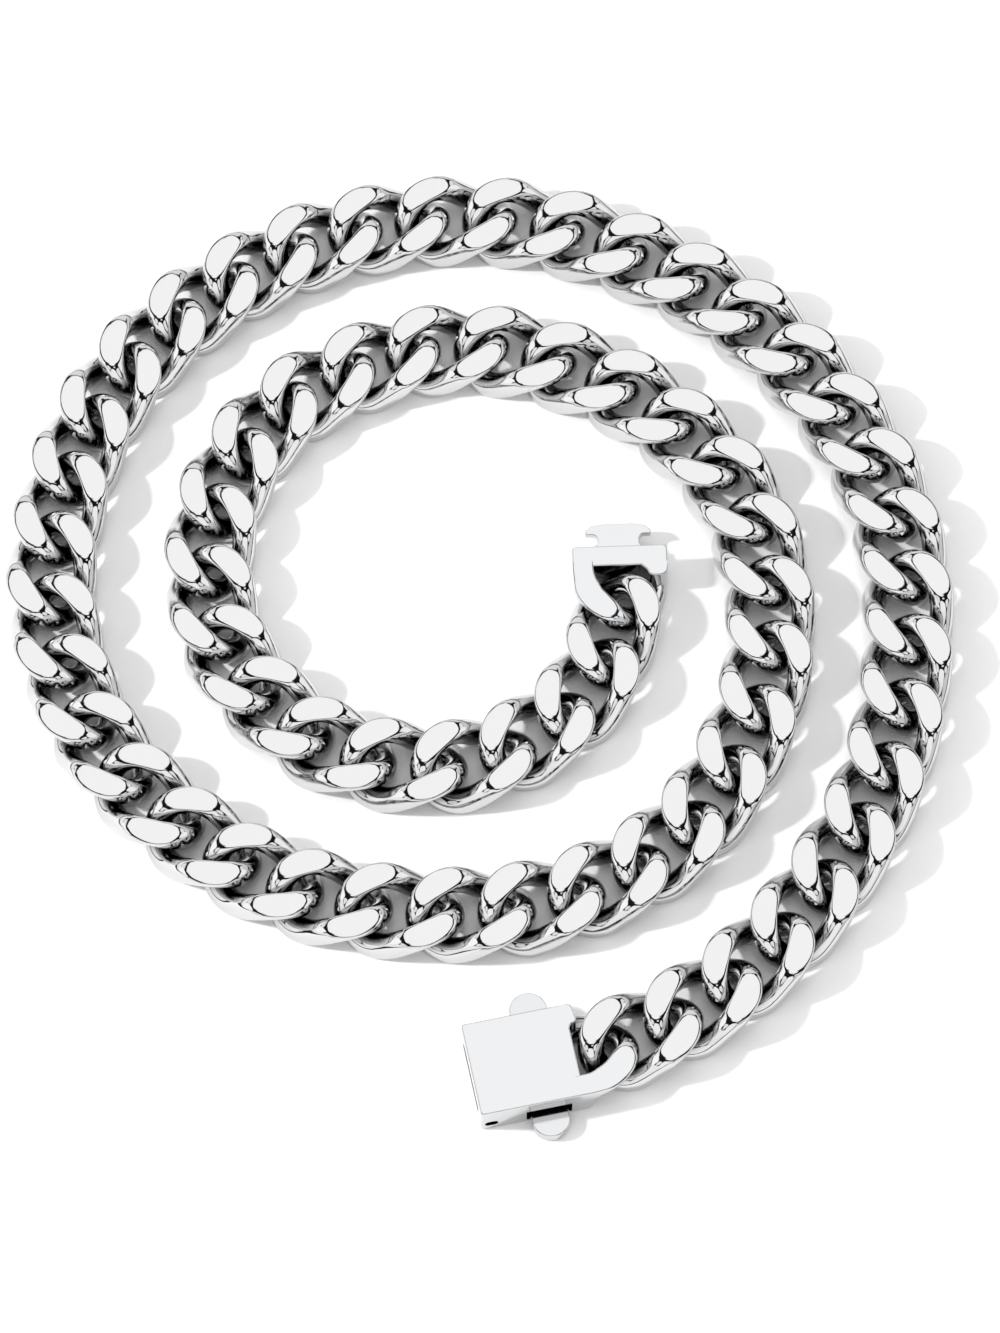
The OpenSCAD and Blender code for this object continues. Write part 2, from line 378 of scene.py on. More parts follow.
class Graph:
    """The nodes of a material or of the world, made and linked in short calls."""

    def __init__(self, tree: bpy.types.NodeTree) -> None:
        """Empties the tree."""
        self._nodes, self._links = tree.nodes, tree.links
        self._nodes.clear()

    def add(
        self, kind: str, inputs: dict[str | int, object] | None = None, **settings: str
    ) -> bpy.types.NodeOutputs:
        """Adds a node.

        Args:
            kind: Type of the node.
            inputs: For each input that is set, its value or the socket that feeds it.
            settings: The node's own settings.

        Returns:
            The new node's outputs.
        """
        node = self._nodes.new(kind)
        for name, value in settings.items():
            setattr(node, name, value)
        for name, value in (inputs or {}).items():
            if isinstance(value, Socket):
                self._links.new(value, node.inputs[name])
            else:
                node.inputs[name].default_value = value
        return node.outputs


@dataclass(frozen=True)
class SteelFinish:
    """Polished steel: mirror bright, with faint hand-polishing waves and hairline scratches.

    The three scales are in waves per metre, and the two heights of the relief in metres.
    """

    name: str
    tint: Triple
    wire_gloss: float = 0.035
    face_gloss: float = 0.07
    smudge: float = 0.03
    shade: float = 0.975
    # share of the tint left where shade is painted in most deeply
    painted_shade_level: float = 0.27
    hairline: float = 0.02
    hairline_height: float = 0.00002
    wave: float = 0.035
    wave_height: float = 0.0003
    cloud_scale: Triple = (90, 90, 90)
    hairline_scale: Triple = (260, 5200, 900)
    wave_scale: Triple = (150, 150, 150)

    def material(self) -> bpy.types.Material:
        """Builds the material.

        Low waves (noise about 6 mm across) bend the reflections a little, and hairlines (noise
        drawn out along one direction) break them up. Soft clouds change the tint and the gloss,
        and the ground faces are rougher than the wire. Deep between the links, and inside the
        clasp's holes, the tint is darkened to a share of itself: painted shade.

        Returns:
            The new material.
        """
        made = bpy.data.materials.new(self.name)
        made.use_nodes = True
        graph = Graph(made.node_tree)
        place = graph.add("ShaderNodeTexCoord")["Object"]

        def noise(scale: Triple, detail: float) -> Socket:
            """A noise pattern on the piece's own coordinates, of so many octaves."""
            stretch = graph.add("ShaderNodeMapping", {"Vector": place, "Scale": scale})[0]
            return graph.add("ShaderNodeTexNoise", {"Vector": stretch, "Scale": 1.0, "Detail": detail})[0]

        def tinted(share: float) -> tuple[float, ...]:
            """The tint darkened to a share of itself."""
            return (*(share * part for part in self.tint), 1.0)

        clouds = noise(self.cloud_scale, detail=3)
        scratches = noise(self.hairline_scale, detail=4)
        waves = noise(self.wave_scale, detail=1)
        ground, hollow = (
            graph.add("ShaderNodeAttribute", attribute_name=name)["Fac"] for name in ("ground", "painted_shade")
        )
        colour = {"Factor": clouds, "A": tinted(self.shade), "B": tinted(1.0)}
        colour = graph.add("ShaderNodeMix", colour, data_type="RGBA")["Result"]
        # painted shade: deep between the links and in the clasp's holes the tint darkens towards a share of
        # itself
        colour = {"Factor": hollow, "A": colour, "B": tinted(self.painted_shade_level)}
        colour = graph.add("ShaderNodeMix", colour, data_type="RGBA")["Result"]
        gloss = {"Value": ground, "To Min": self.wire_gloss, "To Max": self.face_gloss}
        gloss = graph.add("ShaderNodeMapRange", gloss)["Result"]
        gloss = {0: clouds, 1: self.smudge, 2: gloss}
        gloss = graph.add("ShaderNodeMath", gloss, operation="MULTIPLY_ADD")[0]
        relief = {"Strength": self.hairline, "Distance": self.hairline_height, "Height": scratches}
        relief = {"Normal": graph.add("ShaderNodeBump", relief)[0], "Height": waves}
        relief |= {"Strength": self.wave, "Distance": self.wave_height}
        relief = graph.add("ShaderNodeBump", relief)[0]
        steel = {"Metallic": 1.0, "Base Color": colour, "Roughness": gloss, "Normal": relief}
        graph.add("ShaderNodeOutputMaterial", {0: graph.add("ShaderNodeBsdfPrincipled", steel)[0]})
        return made


LINK_STEEL = SteelFinish("link_steel", (0.62, 0.62, 0.625))
CLASP_STEEL = SteelFinish("clasp_steel", (0.62, 0.623, 0.63), face_gloss=0.11)
TAB_STEEL = SteelFinish("tab_steel", (0.60, 0.603, 0.61), face_gloss=0.10)


def dress(
    piece: bpy.types.Object, steel: bpy.types.Material, body: str, node: str
) -> bpy.types.Object:
    """Gives a finished piece its material and its body, and hides the node that it stands for.

    Args:
        piece: The piece.
        steel: Its material.
        body: The body that it moves with.
        node: The node that it replaces.

    Returns:
        The same piece.
    """
    piece.data.materials.append(steel)
    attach(piece, body)
    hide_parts(node)
    LOG.info("%s: %d points, stands for %s on %s", piece.name, len(piece.data.vertices), node, body)
    return piece


@dataclass(frozen=True)
class GroundWire:
    """Round wire that is ground flat above and below, and at the sides of the chain.

    Around its middle line the surface lies at the soft smallest of four distances: the wire's
    radius, and the distances to the upper, lower and side grinding planes in that direction. The
    soft smallest of values v is the sum of v to the power -p, to the power -1 / p.

    A section is read in six stretches, each at its own shares: three arcs, and between them the
    flats at the side, on top and below.
    """

    wire: float = 3.4
    side: float = 5.9
    thick: float = THICKNESS
    crispness: float = 11.0

    ARC = (0.0, 0.12, 0.3, 0.5, 0.7, 0.88)
    INNER_ARC = (
        0.0, 0.012, 0.03, 0.065, 0.12, 0.2, 0.29, 0.38, 0.47, 0.56, 0.65, 0.74, 0.82, 0.9, 0.955, 0.985,
    )  # fmt: skip
    TOP = (0.0, 0.03, 0.09, 0.22, 0.5, 0.78, 0.91, 0.97)
    SIDE = (0.0, 0.08, 0.3, 0.7, 0.92)
    LOW = (0.0, 0.05, 0.2, 0.5, 0.8, 0.95)
    FLATS = (1, 3, 5)
    STEEPEST = math.radians(78)  # angle of the upper and lower edges
    NARROWEST = math.radians(6)  # half the angle that the side flat takes up
    GAP = math.radians(1.6)  # from the side flat to the edges above and below it
    FADE = 0.6  # distance over which the side flat's lean fades out
    WEAKEST = 0.3  # pull with which a corner's distance is worked out at least

    def spans(self) -> tuple[tuple[float, ...], ...]:
        """Shares at which the section's six stretches are read, from the lower outer edge round."""
        return self.ARC, self.SIDE, self.ARC, self.TOP, self.INNER_ARC, self.LOW

    def _corners(self, above: Array, below: Array, reach: Array, lean: Array, pull: Array) -> list[Array]:
        """Angles, from straight outwards, of the section's edges between its arcs and flats.

        A flat begins where the circle of the wire meets its plane, at the arc sine or arc cosine
        of the plane's distance over the radius. The upper and lower edges stay under the steepest
        angle, the side flat keeps a least width and a gap to both, and its lean fades out as the
        side plane leaves the wire. Where a plane meets the side plane inside the circle, the edge
        lies at their corner.

        Args:
            above: Distance from the middle line to the upper plane, along the section.
            below: Distance to the lower plane.
            reach: Distance to the side plane.
            lean: Angle between the section's outward direction and the side plane's.
            pull: How fast the section nears the side plane.

        Returns:
            Seven angles: lower outer edge, both edges of the side flat, both of the top, lower
            inner edge, and the first again after a full turn.
        """
        r = self.wire / 2
        lean = lean * np.clip(1 - (reach - r * pull) / self.FADE, 0, 1)
        open_by = np.arccos(np.clip(reach / (r * pull), -1, math.cos(self.NARROWEST)))
        top, low = (np.arcsin(np.clip(way / r, 0, math.sin(self.STEEPEST))) for way in (above, below))
        side = reach / np.maximum(pull, self.WEAKEST)
        top_edge, low_edge = (
            np.where(way**2 + side**2 < r**2, np.arctan2(way, side), flat)
            for way, flat in ((above, top), (below, low))
        )
        upper = np.minimum(lean + open_by, top_edge - self.GAP)
        lower = np.maximum(lean - open_by, self.GAP - low_edge)
        return [-low_edge, lower, upper, top_edge, math.pi - top, math.pi + low, 2 * math.pi - low_edge]

    def skin(self, centre: Array, along: Array) -> tuple[Array, Array]:
        """The wire's surface round a middle line.

        On an arc the directions are read at shares of its angle, and on a flat at shares of the
        chord between its two edges.

        Args:
            centre: Middle line, as rows of x, y and z.
            along: Direction of the wire at each of its points.

        Returns:
            A grid of points, one row per point of the middle line, and for each how far it lies on
            a ground face, from 0 to 1.
        """
        out = outward(along)
        up = unit(np.cross(out, along))
        above, below = (self.thick - centre[:, 2]) / up[:, 2], centre[:, 2] / up[:, 2]
        hand = np.where(centre[:, 1] < 0, -1.0, 1.0)
        side_out, side_up = out[:, 1] * hand, up[:, 1] * hand
        reach = self.side - np.abs(centre[:, 1])
        lean, pull = np.arctan2(side_up, side_out), np.hypot(side_out, side_up)
        edges = self._corners(above, below, reach, lean, pull)

        def nearness(cos: Array, sin: Array) -> Array:
            """One over the distance to each of the four bounds, in the directions given."""
            sideways = (cos * side_out[:, None] + sin * side_up[:, None]) / reach[:, None]
            return np.array([0 * cos + 2 / self.wire, sin / above[:, None], -sin / below[:, None], sideways])

        directions = []
        for k, shares in enumerate(self.spans()):
            share, a, b = np.array(shares)[None, :], edges[k][:, None], edges[k + 1][:, None]
            if k in self.FLATS:
                start, end = (
                    np.array([np.cos(edge), np.sin(edge)]) / nearness(np.cos(edge), np.sin(edge)).max(0)
                    for edge in (a, b)
                )
                chord = start * (1 - share) + end * share
                directions.append(chord / np.linalg.norm(chord, axis=0))
            else:
                angle = a + (b - a) * share
                directions.append(np.array([np.cos(angle), np.sin(angle)]))
        cos, sin = np.concatenate(directions, 2)
        powers = np.maximum(nearness(cos, sin), 0) ** self.crispness
        far = powers.sum(0) ** (-1 / self.crispness)
        outwards, upwards = (far * cos)[..., None], (far * sin)[..., None]
        grid = centre[:, None, :] + outwards * out[:, None, :] + upwards * up[:, None, :]
        return grid, 1 - powers[0] / powers.sum(0)


@dataclass(frozen=True)
class CurbLink:
    """One link in its own frame: x along the chain, y to the left, the floor at z = 0.

    Seen from above the middle line is an oval: each coordinate is its half length times the cosine
    or sine, raised a little in power. It rises by minus the sine of twice the angle, so that it is
    high on the left behind and on the right ahead. The sine is leaned over by a share of the cosine
    of twice the angle, and divided by its own peak to keep the rise.
    """

    length: float = 16.6
    wide: float = 12.4
    rise: float = 2.2
    power: float = 1.1
    softness: float = 0.06
    lean: float = 0.15
    lean_peak: float = 1.011
    rings: int = 96
    stock: GroundWire = field(default_factory=GroundWire)

    def _oval(self, share: Array) -> Array:
        """A cosine or sine raised in power, kept smooth where it passes through nought."""
        soft = self.softness
        return share * ((share**2 + soft) / (1 + soft)) ** ((self.power - 1) / 2)

    def middle(self, angle: Array) -> Array:
        """Middle line of the wire.

        Args:
            angle: Angles round the link, in radians.

        Returns:
            Rows of x, y and z.
        """
        half_x, half_y = (self.length - self.stock.wire) / 2, (self.wide - self.stock.wire) / 2
        x, y = half_x * self._oval(np.cos(angle)), half_y * self._oval(np.sin(angle))
        rise = -self.rise * np.sin(2 * angle) * (1 - self.lean * np.cos(2 * angle)) / self.lean_peak
        return np.stack([x, y, THICKNESS / 2 + rise], -1)

    def surface(self) -> tuple[Array, Array]:
        """The whole link's surface.

        Returns:
            A grid of points, and how far each lies on a ground face.
        """
        angle = np.linspace(0, 2 * math.pi, self.rings, endpoint=False)
        step = math.radians(3)
        along = unit(self.middle(angle + step) - self.middle(angle - step))
        return self.stock.skin(self.middle(angle), along)


@dataclass(frozen=True)
class CoilRoute:
    """Middle line of the coil, from the clasp box to the tongue end, through a few round points."""

    points: tuple[tuple[float, float], ...] = (
        (11.5, -57.6), (36, -43.5), (52.5, -15.5), (53.5, 17.5), (36, 45.5), (6.5, 60.5),
        (-23.5, 57), (-47, 38), (-55.5, 9.5), (-47.5, -16.5), (-25, -34.5), (3, -38),
        (25, -28), (36.5, -6), (34.5, 17.5), (19.5, 35), (-3, 42), (-24.5, 34),
        (-34.5, 17), (-32.5, -2), (-19, -15.5), (-1, -17.5), (13.5, -7.5), (18, 10),
    )  # fmt: skip
    box_heading: float = 12.0
    tongue_heading: float = 92.0
    links: int = 65
    steps: int = 12

    def curve(self) -> tuple[Array, Array]:
        """The smooth curve through the points, which starts and ends along the two headings.

        Returns:
            Distances run along the curve, and its places as rows of x and y.
        """
        route = np.array(self.points)
        entry, leave = (
            np.array([math.cos(heading), math.sin(heading)])
            for heading in np.radians([self.box_heading, self.tongue_heading])
        )
        lead_in = route[1] - 2 * np.linalg.norm(route[1] - route[0]) * entry
        lead_out = route[-2] + 2 * np.linalg.norm(route[-1] - route[-2]) * leave
        places = stretches(np.vstack([lead_in, route, lead_out]), self.steps)
        return distances(places), places

    def place(self, shape: Array, numbers: Array) -> Array:
        """Copies of a link's shape at their stations on the coil.

        Args:
            shape: Points in a link's own frame, with x, y and z last.
            numbers: Numbers of the links, the first being 0.

        Returns:
            One copy of the points for each number.
        """
        run, places = self.curve()
        station = (numbers + 1) * run[-1] / (self.links + 1)
        here, ahead, behind = (
            np.stack([np.interp(station + shift, run, column) for column in places.T], 1)
            for shift in (0, 1, -1)
        )
        return self._turned(shape, here, np.arctan2(*(ahead - behind).T[::-1]))

    @staticmethod
    def _turned(shape: Array, here: Array, heading: Array) -> Array:
        """The shape turned to each heading and moved to each place.

        Args:
            shape: Points of any grid shape, with x, y and z last.
            here: Rows of x and y.
            heading: One angle for each row.

        Returns:
            One copy of the points for each row.
        """
        grid = (slice(None),) + (None,) * (shape.ndim - 1)
        cos, sin = np.cos(heading)[grid], np.sin(heading)[grid]
        x, y, z = shape[None, ..., 0], shape[None, ..., 1], shape[None, ..., 2]
        east, north = here[:, 0][grid] + x * cos - y * sin, here[:, 1][grid] + x * sin + y * cos
        return np.stack([east, north, z + 0 * cos], -1)

    def at_box(self, shape: Array) -> Array:
        """Points of the clasp box's frame, put at the start of the coil."""
        return self._turned(shape, np.array([self.points[0]]), np.radians([self.box_heading]))[0]

    def at_tongue(self, shape: Array) -> Array:
        """Points of the tongue end's frame, put at the end of the coil."""
        return self._turned(shape, np.array([self.points[-1]]), np.radians([self.tongue_heading]))[0]


@dataclass(frozen=True)
class ChainRun:
    """A run of loose links that stands for part of one chain node."""

    name: str
    node: str
    first: int
    last: int
    link: CurbLink = field(default_factory=CurbLink)

    def build(self, route: CoilRoute, steel: bpy.types.Material) -> bpy.types.Object:
        """Builds the links of the run as one piece.

        Args:
            route: The coil.
            steel: Material of the links.

        Returns:
            The new piece.
        """
        skin = Skin()
        shape, ground = self.link.surface()
        copies = route.place(shape, np.arange(self.first, self.last + 1))
        # the links are painted with shade deep between each other
        skin.grid(skin.points(copies, ground[None], painted_shade(shape)[None]), ring=True, sheet=False)
        return dress(skin.mesh(self.name), steel, BODY, self.node)


@dataclass(frozen=True)
class HookArm:
    """Half a link that is soldered to a half of the clasp, ground flush with its top.

    A section is carried along a path: first an upright bar as high as the clasp, which turns into
    ground wire between two distances from the face. The two are mixed point by point.
    """

    face: float
    stations: tuple[Triple, ...]
    bar: tuple[float, float] = (0.5, 3.2)
    bar_half: float = 1.353
    bar_squareness: float = 50.0
    end_shade: float = 0.0  # painted shade on the low end near the face, from 0 to 1
    rings: int = 84
    stock: GroundWire = field(default_factory=lambda: GroundWire(side=6.153, thick=THICKNESS + 0.004))

    def _bar(self, path: Array, along: Array) -> Array:
        """The upright bar's section at each point of the path.

        It is a rectangle with slightly rounded edges: the soft smallest of its half width and half
        height in the direction from its centre, at the same shares of each side as the wire's.

        Args:
            path: Middle line of the arm.
            along: Its directions.

        Returns:
            A grid with as many columns as the wire's surface.
        """
        corners = np.array([(1, -1), (1, -0.3), (1, 0.3), (1, 1), (-1, 1), (-1, -1), (1, -1)], float)
        parts = []
        for k, shares in enumerate(self.stock.spans()):
            share = np.array(shares)[:, None]
            parts.append(corners[k] * (1 - share) + corners[k + 1] * share)
        shape, power = np.concatenate(parts), self.bar_squareness
        shape = shape * (np.abs(shape) ** power).sum(1, keepdims=True) ** (-1 / power)
        middle = self.stock.thick / 2
        foot = (path * [1, 1, 0])[:, None, :]
        across = self.bar_half * shape[None, :, :1] * outward(along)[:, None, :]
        return foot + across + (middle + middle * shape[None, :, 1:]) * np.array([0.0, 0.0, 1.0])

    def surface(self) -> tuple[Array, Array, Array]:
        """The arm's surface.

        Its low end, which the next link covers, can be painted with shade as dark as the places between the
        links.

        Returns:
            A grid of points in the clasp's frame, how far each lies on a ground face, and the share
            of painted shade at each.
        """
        path = smooth_path(np.array(self.stations), self.rings)
        along = unit(np.gradient(path, axis=0))
        wire, ground = self.stock.skin(path, along)
        away = ease(path[:, :1], *(self.face + distance for distance in self.bar))
        ahead = (np.arange(len(path)) <= np.argmax(path[:, 0]))[:, None]
        share = np.where(ahead, away, 1)
        mixed = self._bar(path, along) * (1 - share[..., None]) + wire * share[..., None]
        # painted shade on the low end, fading out away from the face
        end_shade = np.where(ahead, 0, self.end_shade * (1 - away))
        return mixed, np.maximum(ground, 1 - share), np.maximum(painted_shade(mixed), end_shade)

    def skin(self, turned: bool = False) -> Skin:
        """The closed surface of the arm.

        Args:
            turned: Whether the arm leaves the clasp backwards along the chain.

        Returns:
            The surface in the clasp's frame.
        """
        skin = Skin()
        grid, ground, hollow = self.surface()
        numbers = skin.points(grid * ([-1, -1, 1] if turned else [1, 1, 1]), ground, hollow)
        skin.grid(numbers, sheet=False)
        skin.cap(numbers[0])
        skin.cap(numbers[-1][::-1])
        return skin


@dataclass(frozen=True)
class Opening:
    """A hole with rounded corners in a wall: its start and end along the wall, and its heights."""

    start: float
    end: float
    low: float
    high: float
    radius: float

    def edges(self, count: int) -> tuple[Array, Array]:
        """Lower and upper edge of the hole, each from its start to its end.

        Args:
            count: Points of each edge.

        Returns:
            Two arrays with rows of distance along the wall and height.
        """
        turn = np.linspace(0, math.pi / 2, (count - 2) // 2)
        r = self.radius
        left = np.stack([self.start + r * (1 - np.cos(turn)), self.low + r * (1 - np.sin(turn))], 1)
        right = np.stack([self.end - r * (1 - np.sin(turn)), self.low + r * (1 - np.cos(turn))], 1)
        line = np.linspace(left[-1], right[0], count - 2 * len(turn) + 2)[1:-1]
        lower = np.concatenate([left, line, right])
        upper = np.stack([lower[:, 0], self.low + self.high - lower[:, 1]], 1)
        return lower, upper

    def turned_over(self) -> "Opening":
        """The same hole in the opposite wall, upside down."""
        return Opening(-self.end, -self.start, THICKNESS - self.high, THICKNESS - self.low, self.radius)


@dataclass(frozen=True)
class BoxShell:
    """The hollow box with its mouth, two tab slots and a small oval hole.

    The outer skin is the plan's outline carried upwards, with a quarter circle round the upper and
    lower edges. The inner skin is the room inside. A hole is a flat ring of faces in both skins,
    joined through the wall. There are five walls: the near one is split in two, as it has two
    holes. They come counter-clockwise from above, with one hole or none each.
    """

    mouth: float = -12.9
    face: float = 0.3
    half: float = 6.15
    wall: float = 1.0
    end_wall: float = 1.4
    lid: float = 0.5
    corner: float = 0.45
    bevel: float = 0.16
    rim: float = 0.03  # depth of the rim inside each hole that is painted with shade
    lead: float = 0.04  # from a wall's last point to where the corner begins
    gap: float = 0.05  # kept free at the split and in the inner corners
    columns: int = 14

    NEAR_SLOT = Opening(-7.1, -1.3, 0.52, 3.05, 0.12)
    PEEP_HOLE = Opening(-12.4, -10.7, 1.05, 2.25, 0.56)
    MOUTH = Opening(-4.45, 4.45, 1.95, 3.25, 0.15)
    HOLES = (PEEP_HOLE, NEAR_SLOT, None, NEAR_SLOT.turned_over(), MOUTH)
    SPLIT = -9.0

    def _walls(self, inside: bool) -> Array:
        """The walls of one skin.

        Args:
            inside: Whether the inner skin is asked for.

        Returns:
            For each wall its start and its end, as x and y.
        """
        left, right, half, keep = self.mouth, self.face, self.half, self.corner + self.lead
        if inside:
            left, right = left + self.wall, right - self.end_wall
            half, keep = half - self.wall, self.gap
        return np.array([
            [(left + keep, -half), (self.SPLIT - self.gap, -half)],
            [(self.SPLIT + self.gap, -half), (right - keep, -half)],
            [(right, keep - half), (right, half - keep)],
            [(right - keep, half), (left + keep, half)],
            [(left, half - keep), (left, keep - half)],
        ])  # fmt: skip

    def _outline(self, inside: bool) -> tuple[Array, list[Array]]:
        """The plan's outline, which turns round a corner after each wall but the first.

        Args:
            inside: Whether the inner outline is asked for.

        Returns:
            Rows of x and y, and the row numbers of each wall's points.
        """
        rows, spans, count = [], [], 0
        turn = np.linspace(0, math.pi / 2, 6)[:, None]
        for start, end in self._walls(inside):
            along = unit(end - start)
            rows.append(start + (end - start) * np.linspace(0, 1, self.columns)[:, None])
            spans.append(count + np.arange(self.columns))
            count += self.columns
            if len(spans) > 1 and not inside:
                inwards = np.array([-along[1], along[0]]) * self.corner * (1 - np.cos(turn))
                rows.append(end + along * self.lead + along * self.corner * np.sin(turn) + inwards)
                count += len(turn)
        return np.concatenate(rows), spans

    def _hole(self, skin: Skin, wall: int, inside: bool, low: Array, high: Array) -> Array:
        """Adds the flat ring of faces round a wall's hole.

        Args:
            skin: The box's surface.
            wall: Number of the wall, the first being 0.
            inside: Whether the ring lies on the inner skin.
            low: Point numbers of the wall's lower edge.
            high: Point numbers of its upper edge.

        Returns:
            Point numbers round the hole: its lower edge, then its upper edge backwards. On the
            outer skin they lie just inside the hole, where the steel is painted with shade.
        """
        start, end = self._walls(inside)[wall]
        along = unit(end - start)
        across = start - along * (start @ along)
        lower, upper = self.HOLES[wall].edges(self.columns)
        edge = np.concatenate([lower, upper[::-1]])
        places = np.column_stack([across + along * edge[:, :1], edge[:, 1]])
        # the inner skin's rings are painted with full shade, the outer ones with none
        ring = skin.points(places, 1.0, float(inside))
        pair = np.stack([np.concatenate([low, high[::-1]]), ring], 1)
        skin.grid(pair[:, ::-1] if inside else pair, ring=True)
        if inside:
            return ring
        # the rim just inside the hole is painted with full shade
        sunk = skin.points(places + self.rim * np.array([-along[1], along[0], 0.0]), 1.0, 1.0)
        skin.grid(np.stack([ring, sunk], 1), ring=True)
        return sunk

    def skin(self) -> Skin:
        """The closed surface of the box.

        Returns:
            The surface in the clasp's frame.
        """
        skin = Skin()
        holes: list[list[Array]] = [[], []]
        for inside in (False, True):
            outline, spans = self._outline(inside)
            if inside:
                depths, heights = np.zeros(2), np.array([self.lid, THICKNESS - self.lid])
            else:
                depths, heights = rounded_side(0.0, THICKNESS, self.bevel)
            rings = [
                np.column_stack([inset(outline, depth), np.full(len(outline), height)])
                for depth, height in zip(depths, heights)
            ]
            # the whole inner skin is painted with full shade
            numbers = skin.points(np.stack(rings), 1.0, float(inside))
            half = len(heights) // 2
            low, high = numbers[half - 1], numbers[half]
            if inside:
                skin.cap(low)
                skin.cap(high[::-1])
            else:
                skin.grid(numbers[:half].T, ring=True)
                skin.grid(numbers[half:].T, ring=True)
                skin.cap(numbers[-1])
                skin.cap(numbers[0][::-1])
            solid = np.ones(len(outline), bool)
            for wall, span in enumerate(spans):
                if self.HOLES[wall] is not None:
                    solid[span[:-1]] = False
                    holes[inside].append(self._hole(skin, wall, inside, low[span], high[span]))
            here = np.arange(len(outline))[solid]
            after = (here + 1) % len(outline)
            quads = np.stack([low[here], low[after], high[after], high[here]], 1)
            skin.faces(quads[:, ::-1] if inside else quads)
        # the sides of each hole run between two rings with painted shade, so they are painted dark too
        for outer, inner in zip(*holes):
            skin.grid(np.stack([outer, inner], 1), ring=True)
        return skin


@dataclass(frozen=True)
class ClaspBox:
    """The box end of the clasp: the hollow box, its nub, and half a link soldered on."""

    name: str = "clasp_box_shell"
    node: str = "clasp_box"
    shell: BoxShell = field(default_factory=BoxShell)
    nub: tuple[Triple, ...] = (
        (-0.4, 2.6, 0.1), (0.2, 2.75, 0.3), (0.6, 3.45, 0.35), (1.42, 3.5, 0.55), (1.1, 6.151, 0.6),
        (-0.4, 6.151, 0.1),
    )  # fmt: skip
    nub_shows: float = 0.1  # x from which on the nub stands outside the box
    arm: HookArm = field(
        default_factory=lambda: HookArm(
            face=0.3,
            # paints the low end of the arm near the box with full shade
            end_shade=1.0,
            stations=(
                (-0.35, -4.80, 4.8), (0.8, -4.80, 4.8), (2.0, -4.78, 4.8), (3.2, -4.50, 4.8),
                (4.6, -3.78, 4.8), (5.8, -2.75, 4.72), (6.55, -1.5, 3.8), (6.72, 0.0, 2.6),
                (6.25, 1.5, 1.35), (5.2, 2.8, 0.62), (3.7, 3.75, 0.42), (2.0, 4.25, 0.4),
                (0.4, 4.4, 0.4),
            ),
        )
    )  # fmt: skip

    def build(self, route: CoilRoute, steel: bpy.types.Material) -> bpy.types.Object:
        """Builds the box and its half link as one piece.

        Args:
            route: The coil.
            steel: Material of the clasp.

        Returns:
            The new piece.
        """
        skin = self.shell.skin()
        nub = rounded_outline(self.nub)
        showing = np.where(nub[:, 0] < self.nub_shows, BURIED, 1.0)
        skin.slab(nub, PROUD, THICKNESS + PROUD, self.shell.bevel, showing)
        skin.join(self.arm.skin())
        skin.move(route.at_box)
        return dress(skin.mesh(self.name, CREASE), steel, BODY, self.node)


@dataclass(frozen=True)
class PushTab:
    """A push tab: a round-ended plate that reaches across the box, with a peg for the tongue.

    Its round end stands out of the box. From a root behind the wall a wider plate, given by its
    two ends along the box, goes to the back. There an arm, given by its tip and its near side,
    carries the peg, given by its own end and near side. The near tab's end also has a lip below.
    """

    name: str
    node: str
    body: str
    side: Face
    reach: float
    middle: float = -4.2
    radius: float = 2.4
    thick: float = 1.1
    low: float = 0.65
    bevel: float = 0.12
    corner: float = 0.1
    root: float = -5.0
    back: float = 3.6
    plate: tuple[float, float] = (-8.3, -1.25)
    arm: tuple[float, float] = (-11.75, 2.0)
    peg: tuple[float, float] = (-10.45, 2.85)
    peg_top: float = 3.1
    peg_bevel: float = 0.04
    lip_low: float = 0.1
    lip_start: float = 0.3
    tip_flat: float = 0.05  # half the flat left at the tip of the round end
    inside: float = 0.01  # how far the peg and the lip stay inside the plate

    def _outline(self) -> Array:
        """Outline of the plate from above, for the near side of the box.

        Returns:
            Rows of x and y.
        """
        left, right = self.middle - self.radius, self.middle + self.radius
        (start, end), (tip, front) = self.plate, self.arm
        place = [
            (left, self.root), (left, -self.reach), (right, -self.reach), (right, self.root),
            (end, self.root), (end, self.back), (tip, self.back), (tip, front), (start, front),
            (start, self.root),
        ]  # fmt: skip
        half_round = self.radius - self.tip_flat
        return rounded_outline(
            [(x, y, half_round if y == -self.reach else self.corner) for x, y in place], steps=16
        )

    def _peg(self) -> Array:
        """Outline of the peg, which stands just inside the edges of the arm."""
        (end, front), back = self.peg, self.back - self.inside
        return rounded_outline(rectangle(self.arm[0], end, front, back, self.corner), steps=3)

    def _lip(self) -> Array:
        """Outline of the lip: an arc just inside the round end, and its chord.

        Returns:
            Rows of x and y.
        """
        turn = np.linspace(self.lip_start, math.pi - self.lip_start, 33)
        arc = (self.radius - self.inside) * np.stack([-np.cos(turn), -np.sin(turn)], 1)
        return arc + [self.middle, self.radius - self.reach]

    def build(self, route: CoilRoute, steel: bpy.types.Material) -> bpy.types.Object:
        """Builds the tab in the side of the box that it stands in. The far one is turned over.

        Args:
            route: The coil.
            steel: Material of the tab.

        Returns:
            The new piece.
        """
        skin = Skin()
        skin.slab(self._outline(), self.low, self.low + self.thick, self.bevel)
        skin.slab(self._peg(), self.low + self.inside, self.peg_top, self.peg_bevel)
        if self.side is Face.NEAR:
            skin.slab(self._lip(), self.lip_low, self.low + self.thick / 2, self.bevel)
        else:
            skin.move(lambda points: points * [1, -1, -1] + [0, 0, THICKNESS])
        skin.move(route.at_box)
        return dress(skin.mesh(self.name, CREASE), steel, self.body, self.node)


